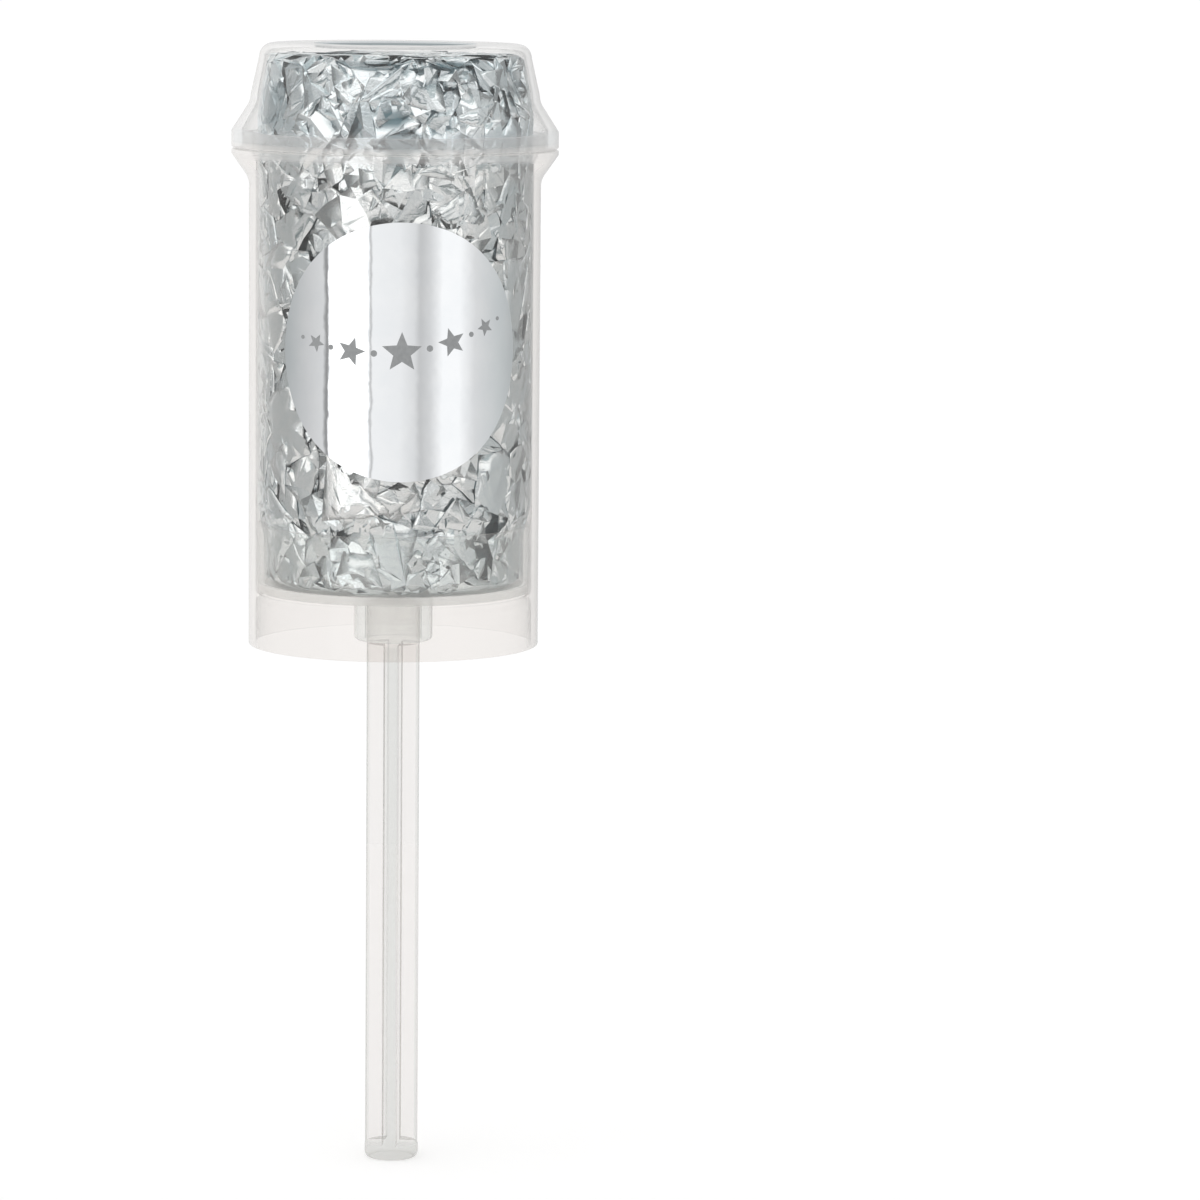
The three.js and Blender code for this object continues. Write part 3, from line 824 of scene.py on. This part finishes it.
def lay_flake(foil, rng, place, centre, size, base, press, settings):
    """Folds a flake, turns it, presses it against what it lies on, and adds it."""
    flat, faces, folded, cracked = flake_plan(rng, size, settings)
    least = rng.uniform(0, 0.12) + 0.25 * base
    depth = np.maximum(base + folded - press, least) + cracked
    angle = rng.uniform(0, 2 * math.pi)
    c, s = math.cos(angle), math.sin(angle)
    x = centre[0] + flat[:, 0] * c - flat[:, 1] * s
    y = centre[1] + flat[:, 0] * s + flat[:, 1] * c
    hollow, shade = 0, 0
    if place is on_wall:
        hollow, shade = hollows(x, y)
    elif place is on_top:
        hollow, shade = hollows(np.arctan2(x, -y) * BORE_RADIUS, ALONG[-1] - np.hypot(x, y))
    depth = DEEPEST * np.tanh((depth + hollow) / DEEPEST)
    points = place(x, y, depth)
    # The depth value kept for each point adds painted shade: the hollows' shade and the cracks' shade.
    foil.add(points, faces, rng.random(), depth + shade + GROOVE_SHADE * cracked)


def calm_at(angle):
    """How smooth the foil lies at an angle round the barrel: 1 at the sides, less in two bands of the
    front, and 0 elsewhere."""
    turn = math.degrees(math.asin(math.sin(angle)))
    start, end = CALM_RIGHT if turn > 0 else CALM_LEFT
    share = max(0, min(1, (abs(turn) - start) / (end - start)))
    calm = share * share * (3 - 2 * share)
    for middle, half, most in CALM_BANDS:
        calm = max(calm, most * max(0, min(1, 2 - 2 * abs(turn - middle) / half)))
    return calm


def wall_flakes(seed, low, high, layers, settings):
    """Flakes in jittered rows round the wall, deeper layers first. A layer is its depth, the size of
    its flakes and how many go round."""
    rng = random.Random(seed)
    foil = Foil()
    fold, crease, folds, facet, crack = settings
    around = 2 * math.pi * BORE_RADIUS
    for base, size, columns in layers:
        rows = max(2, round((high - low) / (around / columns)))
        for row in range(rows):
            for column in range(columns):
                u = around * (column + 0.5 * (row % 2) + rng.uniform(-0.4, 0.4)) / columns
                s = low + (high - low) * (row + 0.5 + rng.uniform(-0.4, 0.4)) / rows
                calm = calm_at(u / BORE_RADIUS)
                eased = (fold * (1 - CALM_FOLD * calm), crease * (1 - CALM_CREASE * calm), folds, facet,
                         crack * (1 - CALM_CRACK * calm))
                under = base > UNDER
                depth = base * (1 - (CALM_UNDER_DEPTH if under else CALM_DEPTH) * calm)
                press = 0.1 if under else 0.24 + 0.2 * calm
                lay_flake(foil, rng, on_wall, (u, s), size * rng.uniform(0.6, 1.4), depth, press, eased)
    return foil


def disc_flakes(foil, seed, place, reach, layers, settings):
    """Adds flakes spread over a disc. A layer is its depth, the size of its flakes and their number."""
    rng = random.Random(seed)
    for base, size, count in layers:
        for i in range(count):
            radius = reach * math.sqrt((i + rng.random()) / count)
            angle = 2.4 * i + rng.uniform(-0.5, 0.5)
            centre = (radius * math.sin(angle), -radius * math.cos(angle))
            held = min(size * rng.uniform(0.75, 1.25), 2 * (reach + 4 - radius))
            lay_flake(foil, rng, place, centre, held, base, 0, settings)


def core_mesh():
    """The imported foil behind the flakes, a closed crumpled column."""
    rng = random.Random(4)
    sides, levels = 72, 60
    high = along_of(FOIL_TOP - 0.1) + 2.5
    points, faces = [], []
    for k in range(levels):
        s = high * k / (levels - 1)
        u = np.arange(sides) * 2 * math.pi * BORE_RADIUS / sides
        depth = np.array([1.7 + 0.9 * rng.random() for _ in range(sides)])
        points += [tuple(p) for p in on_wall(u, np.full(sides, s), depth)]
    for k in range(levels - 1):
        for i in range(sides):
            j = (i + 1) % sides
            a, b, c, d = k * sides + i, k * sides + j, (k + 1) * sides + j, (k + 1) * sides + i
            faces += [(a, b, c), (a, c, d)]
    for ring, height, turn in ((0, PLUNGER_FLOOR + 2.4, False), (levels - 1, FOIL_TOP - 0.4, True)):
        points.append((0, 0, height))
        for i in range(sides):
            a, b = ring * sides + i, ring * sides + (i + 1) % sides
            faces.append((len(points) - 1, a, b) if turn else (len(points) - 1, b, a))
    mesh = mesh_of("foil_core_packed", points, faces, 10)
    # The packed foil gets painted shade: a fixed depth value of 1.4 and the lowest tone make it dark.
    for key, value in (("tone", 0.1), ("depth", 1.4)):
        layer = mesh.attributes.new(key, "FLOAT", "POINT")
        layer.data.foreach_set("value", [value] * len(points))
    return mesh


def foil_material(name):
    """Silver film with fine crinkles: bright where it lies on top, and dark teal by painted shade in the
    gaps and hollows, from each point's depth value and from ambient occlusion, weaker at the left and right
    sides.
    """
    made, n = material(name)
    place = n.place()
    tone = n.add("ShaderNodeAttribute", attribute_name="tone").outputs["Fac"]
    depth = n.add("ShaderNodeAttribute", attribute_name="depth").outputs["Fac"]
    silver = n.mix(tone, (0.86, 0.915, 0.935, 1), (0.965, 0.985, 0.985, 1))
    cloud = n.ramp(n.noise(place, 0.5, 4), 0.4, 0.62)
    silver = n.mix(n.math("MULTIPLY", cloud, 0.25), silver, (0.74, 0.82, 0.86, 1))
    # Painted shade: the film turns dark teal where a point's depth value is high and where ambient
    # occlusion finds a gap, and it grows less metallic there.
    hollow = n.math("MULTIPLY", n.ramp(depth, 0.7, 1.8, smooth=True), n.ramp(tone, 0.1, 1, 1.0, 0.72))
    gap = n.add("ShaderNodeAmbientOcclusion", {"Distance": 0.001}, samples=6, only_local=True).outputs["AO"]
    shade = n.math("SUBTRACT", 1.0, n.ramp(gap, 0.2, 0.75, smooth=True))
    painted_shade = n.math("MAXIMUM", hollow, n.math("MULTIPLY", shade, 0.82))
    # The painted shade is weaker at the left and right sides.
    aside = n.math("ABSOLUTE", n.add("ShaderNodeSeparateXYZ", {0: place}).outputs[0])
    painted_shade = n.math("MULTIPLY", painted_shade, n.ramp(aside, 16, 22, 1.0, 0.65, smooth=True))
    color = n.mix(painted_shade, silver, (0.115, 0.2, 0.23, 1))
    metal_out_of_shade = n.ramp(painted_shade, 0.35, 1, 1.0, 0.2)
    rough = n.ramp(n.noise(place, 1.1, 4), 0.3, 0.7, 0.15, 0.22)
    cells = n.add("ShaderNodeTexVoronoi", {"Vector": place, "Scale": 0.8, "Randomness": 1.0},
                  feature="DISTANCE_TO_EDGE").outputs[0]
    crinkle = n.ramp(cells, 0.0, 0.1)
    fine = n.noise(place, 1.8, 5, 0.6)
    height = n.math("ADD", n.math("MULTIPLY", crinkle, 0.3), fine)
    bump = n.add("ShaderNodeBump", {"Strength": 0.25, "Distance": 0.0001, "Height": height})
    shader = n.add("ShaderNodeBsdfPrincipled", {
        "Base Color": color, "Metallic": metal_out_of_shade, "Roughness": rough, "Normal": bump.outputs[0]})
    n.end(shader.outputs[0])
    return made


foil_look = foil_material("silver_film")
packed_look = foil_material("packed_film")

# Layers of flakes and how crumpled they are, on the wall and in the plunger's cup
WALL_LAYERS = ((1.05, 14, 20), (0.5, 12, 20), (0.2, 13, 17), (0.05, 7, 20))
CRUMPLE = (0.26, 0.15, 3, 2.4, 0.24)
CUP_LAYERS = ((0.8, 11, 18), (0.4, 11, 17), (0.15, 11, 14), (0.05, 6, 12))
CUP_CRUMPLE = (0.15, 0.09, 3, 2.4, 0.22)
FLOOR_LAYERS = ((1.2, 12, 14), (0.2, 12, 16))
TOP_LAYERS = ((1.4, 13, 22), (0.7, 12, 22), (0.1, 11, 18))


def node_names(first, last):
    """Names of the CAD flakes that a piece stands for."""
    return [f"foil_flake_{i:02d}" for i in range(first, last + 1)]


cup = wall_flakes(21, along_of(CUP_FOIL_LOW), along_of(CUP_FOIL_HIGH), CUP_LAYERS, CUP_CRUMPLE)
disc_flakes(cup, 22, on_floor, DISC_REACH, FLOOR_LAYERS, CUP_CRUMPLE)
link("foil_in_plunger", cup.mesh("foil_in_plunger", FILM), "plunger", foil_look, "foil_flakes",
     *node_names(1, 8))

wall = wall_flakes(32, along_of(WALL_FOIL_LOW), along_of(CAP_FOIL_LOW), WALL_LAYERS, CRUMPLE)
link("foil_in_barrel", wall.mesh("foil_in_barrel", FILM), "plunger", foil_look, "foil_flakes",
     *node_names(9, 32))

top = wall_flakes(41, along_of(CAP_FOIL_LOW), along_of(FOIL_TOP) + 2, WALL_LAYERS, CRUMPLE)
disc_flakes(top, 42, on_top, DISC_REACH, TOP_LAYERS, CRUMPLE)
link("foil_in_cap", top.mesh("foil_in_cap", FILM), "plunger", foil_look, "foil_flakes",
     *node_names(33, 40), *[f"foil_top_flake_{i}" for i in range(1, 7)])

link("foil_core_packed", core_mesh(), "plunger", packed_look, "foil_packed", "foil_core")


# Sticker

def label_mesh():
    """The round sticker, wrapped on the barrel, closed with an inner side and a rim."""
    rings, spokes = 40, 192
    flat = [(0.0, 0.0)]
    for k in range(1, rings + 1):
        radius = LABEL_RADIUS * math.sin(math.pi / 2 * k / rings)
        for i in range(spokes):
            angle = 2 * math.pi * i / spokes
            flat.append((radius * math.cos(angle), radius * math.sin(angle)))
    faces = []
    for i in range(spokes):
        faces.append((0, 1 + i, 1 + (i + 1) % spokes))
    for k in range(rings - 1):
        for i in range(spokes):
            a, b = 1 + k * spokes + i, 1 + k * spokes + (i + 1) % spokes
            faces.append((a, a + spokes, b + spokes, b))
    return wrapped("label_sticker", flat, faces, LABEL_LIFT, LABEL_THICKNESS)


def wrapped(name, flat, faces, lift, thickness):
    """Wraps flat faces round the barrel's front and closes them into a thin body."""
    count = len(flat)
    points = []
    for distance in (BARREL_RADIUS + lift + thickness, BARREL_RADIUS + lift):
        for x, y in flat:
            angle = x / BARREL_RADIUS
            points.append((distance * math.sin(angle), -distance * math.cos(angle), LABEL_HEIGHT + y))
    edges = {}
    for face in faces:
        for a, b in zip(face, face[1:] + face[:1]):
            edges[(a, b)] = True
    rim = [(a, b) for a, b in edges if (b, a) not in edges]
    closed = list(faces)
    closed += [tuple(i + count for i in reversed(face)) for face in faces]
    closed += [(b, a, a + count, b + count) for a, b in rim]
    return mesh_of(name, points, closed, 40)


def label_material():
    made, n = material("label_mirror")
    place = n.place()
    wave = n.noise(place, 0.2, 2)
    fine = n.noise(place, 1.5, 3)
    height = n.math("ADD", wave, n.math("MULTIPLY", fine, 0.03))
    bump = n.add("ShaderNodeBump", {"Strength": 0.16, "Distance": 0.0003, "Height": height})
    rough = n.ramp(n.noise(place, 0.4, 4), 0.3, 0.7, 0.035, 0.06)
    color = n.mix(n.ramp(n.noise(place, 0.2, 3), 0.35, 0.65), (0.93, 0.94, 0.95, 1), (0.96, 0.965, 0.97, 1))
    shader = n.add("ShaderNodeBsdfPrincipled", {
        "Base Color": color, "Metallic": 1.0, "Roughness": rough, "Normal": bump.outputs[0]})
    n.end(shader.outputs[0])
    return made


def star(x, y, reach, turn):
    """Outline of a five-pointed star."""
    points = []
    for i in range(10):
        angle = math.radians(36 * i + turn)
        radius = reach if i % 2 == 0 else reach * 0.44
        points.append(Vector((x - radius * math.sin(angle), y + radius * math.cos(angle))))
    return points


def dot(x, y, reach):
    return [Vector((x + reach * math.cos(2 * math.pi * i / 20), y + reach * math.sin(2 * math.pi * i / 20)))
            for i in range(20)]


def print_mesh():
    """A plain garland of stars and dots, printed across the sticker."""
    shapes = []
    for x, reach in ((0, 3.5), (8.6, 2.5), (-8.6, 2.5), (15, 1.6), (-15, 1.6)):
        shapes.append(star(x, GARLAND_RISE * x + GARLAND_SAG * x * x, reach, GARLAND_TURN * x))
    for x, reach in ((4.7, 0.55), (-4.7, 0.55), (12.2, 0.45), (-12.2, 0.45), (17.7, 0.35), (-17.7, 0.35)):
        shapes.append(dot(x, GARLAND_RISE * x + GARLAND_SAG * x * x, reach))
    flat, faces = [], []
    for outline in shapes:
        fine = []
        for i, a in enumerate(outline):
            b = outline[(i + 1) % len(outline)]
            pieces = max(1, round((b - a).length / PRINT_STEP))
            fine += [a.lerp(b, k / pieces) for k in range(pieces)]
        low = Vector((min(p.x for p in fine), min(p.y for p in fine)))
        high = Vector((max(p.x for p in fine), max(p.y for p in fine)))
        inner = []
        for a in range(int((high.x - low.x) / PRINT_STEP) + 1):
            for b in range(int((high.y - low.y) / PRINT_STEP) + 1):
                p = low + Vector((a, b)) * PRINT_STEP
                if is_inside(p, fine) and edge_distance(p, fine) > 0.3 * PRINT_STEP:
                    inner.append(p)
        count = len(fine)
        ring = [(i, (i + 1) % count) for i in range(count)]
        points, _, triangles, *_ = delaunay_2d_cdt(fine + inner, ring, [list(range(count))], 1, 1e-5)
        faces += [tuple(i + len(flat) for i in face) for face in triangles]
        flat += [tuple(p) for p in points]
    return wrapped("label_print", flat, faces, LABEL_LIFT + LABEL_THICKNESS + PRINT_LIFT, PRINT_THICKNESS)


def print_material():
    """Matt grey ink with a slightly uneven coat."""
    made, n = material("print_ink")
    place = n.place()
    coat = n.ramp(n.noise(place, 1.2, 4, 0.6), 0.3, 0.7)
    color = n.mix(coat, (0.29, 0.3, 0.305, 1), (0.35, 0.36, 0.365, 1))
    rough = n.ramp(n.noise(place, 2.5, 3), 0.3, 0.7, 0.45, 0.6)
    bump = n.add("ShaderNodeBump", {"Strength": 0.1, "Distance": 0.00005, "Height": n.noise(place, 4, 3)})
    shader = n.add("ShaderNodeBsdfPrincipled", {
        "Base Color": color, "Metallic": 0.0, "Roughness": rough, "Normal": bump.outputs[0]})
    n.end(shader.outputs[0])
    return made


link("label_sticker", label_mesh(), "barrel", label_material(), "label_silver", "label")
link("label_print", print_mesh(), "barrel", print_material(), "label_silver")


# Floor, backdrop and light

def add_floor():
    sides, reach = 96, 320
    rim = [(reach * math.cos(2 * math.pi * i / sides), reach * math.sin(2 * math.pi * i / sides), 0)
           for i in range(sides)]
    mesh = mesh_of("floor", rim, [tuple(range(sides))])
    made, n = material("floor_paper")
    place = n.place()
    tone = n.ramp(n.noise(place, 0.02, 4), 0.3, 0.7)
    color = n.mix(tone, (0.89, 0.89, 0.89, 1), (0.91, 0.91, 0.91, 1))
    paper = n.add("ShaderNodeBsdfDiffuse", {"Color": color}).outputs[0]
    seen = n.add("ShaderNodeLightPath").outputs["Is Camera Ray"]
    glow = n.add("ShaderNodeEmission", {"Strength": n.math("MULTIPLY", seen, 0.21)}).outputs[0]
    both = n.add("ShaderNodeAddShader", {0: paper, 1: glow}).outputs[0]
    n.end(both)
    floor = bpy.data.objects.new("floor", mesh)
    scene.collection.objects.link(floor)
    floor.data.materials.append(made)


def add_world():
    """Soft studio light all round. Reflections see tall soft boxes beside the camera, a white backdrop
    and a bright ceiling, as levels round the horizon (stops) and up from it (bands: angle, level and how
    far the level covers the stops). Plain surfaces get one soft light, and the camera sees white."""
    world = bpy.data.worlds.new("studio")
    scene.world = world
    world.use_nodes = True
    n = Nodes(world.node_tree)
    way = n.add("ShaderNodeTexCoord").outputs["Generated"]
    split = n.add("ShaderNodeSeparateXYZ", {0: way})
    x, y, z = split.outputs
    turn = n.math("ARCTAN2", x, n.math("MULTIPLY", y, -1.0))
    share = n.math("ADD", n.math("DIVIDE", turn, 2 * math.pi), 0.5 + CAMERA_AZIMUTH / 360)
    ring = n.add("ShaderNodeValToRGB", {0: share})
    stops = (
        (-180, 1.0), (-150, 1.0), (-138, 0.66), (-126, 0.42), (-100, 0.42), (-90, 0.47), (-72, 0.6),
        (-57, 0.7), (-55.5, 0.3), (-53, 0.3), (-52, 1.5), (-20, 1.5), (-19.5, 0.5), (-18, 0.5),
        (-17, 0.92), (4, 0.88), (16, 0.74), (20, 0.57), (28, 0.69), (38, 1.0), (52, 1.0), (66, 0.72),
        (90, 0.58), (108, 0.46), (130, 0.43), (150, 0.39), (166, 0.5), (172, 1.0), (180, 1.0),
    )
    elements = ring.color_ramp.elements
    while len(elements) > 1:
        elements.remove(elements[-1])
    for i, (angle, level) in enumerate(stops):
        element = elements[0] if i == 0 else elements.new((angle + 180) / 360)
        element.position = (angle + 180) / 360
        cool = 0.045 if abs(angle) > 80 and level < 0.9 else 0.01
        element.color = (level * (1 - cool), level, level * 1.01, 1)
    level = ring.outputs[0]
    climb = n.math("ADD", n.math("DIVIDE", n.math("ARCSINE", z), math.pi), 0.5)
    rise = n.add("ShaderNodeValToRGB", {0: climb})
    bands = (
        (-90, 0.8, 1), (-33, 0.7, 1), (-27, 0.14, 1), (-17, 0.12, 1), (-14, 0.3, 0), (4, 0.3, 0),
        (6, 0.14, 1), (10, 0.12, 1), (12, 0.5, 0.1), (20, 0.5, 0.1), (22, 1.25, 1),
        (46, 1.35, 1), (52, 0.5, 1), (60, 0.45, 1), (66, 1.0, 1), (90, 1.0, 1),
    )
    elements = rise.color_ramp.elements
    for i, (angle, light, cover) in enumerate(bands):
        element = elements[i] if i < 2 else elements.new((angle + 90) / 180)
        element.position = (angle + 90) / 180
        cool = max(0, 1 - light)
        element.color = (light * (1 - 0.33 * cool), light, light * (1 + 0.08 * cool), cover)
    aside = n.ramp(n.math("ABSOLUTE", turn), math.radians(58), math.radians(92), 1.0, 0.08, smooth=True)
    high = n.ramp(z, 0.55, 0.7)
    cover = n.math("MULTIPLY", rise.outputs["Alpha"], n.math("MAXIMUM", aside, high))
    glossy = n.mix(cover, level, rise.outputs["Color"])
    path = n.add("ShaderNodeLightPath")
    soft = n.mix(n.ramp(x, -1, 1, smooth=True), (1.07, 1.06, 1.05, 1), (0.76, 0.765, 0.77, 1))
    plain = n.mix(path.outputs["Is Glossy Ray"], soft, glossy)
    color = n.mix(path.outputs["Is Camera Ray"], plain, (1.02, 1.02, 1.02, 1))
    light = n.add("ShaderNodeBackground", {"Color": color, "Strength": 1.0})
    output = n.add("ShaderNodeOutputWorld")
    n.tree.links.new(light.outputs[0], output.inputs["Surface"])


add_floor()
add_world()

scene.view_settings.view_transform = "Standard"
scene.cycles.transparent_max_bounces = 32
scene.cycles.glossy_bounces = 6
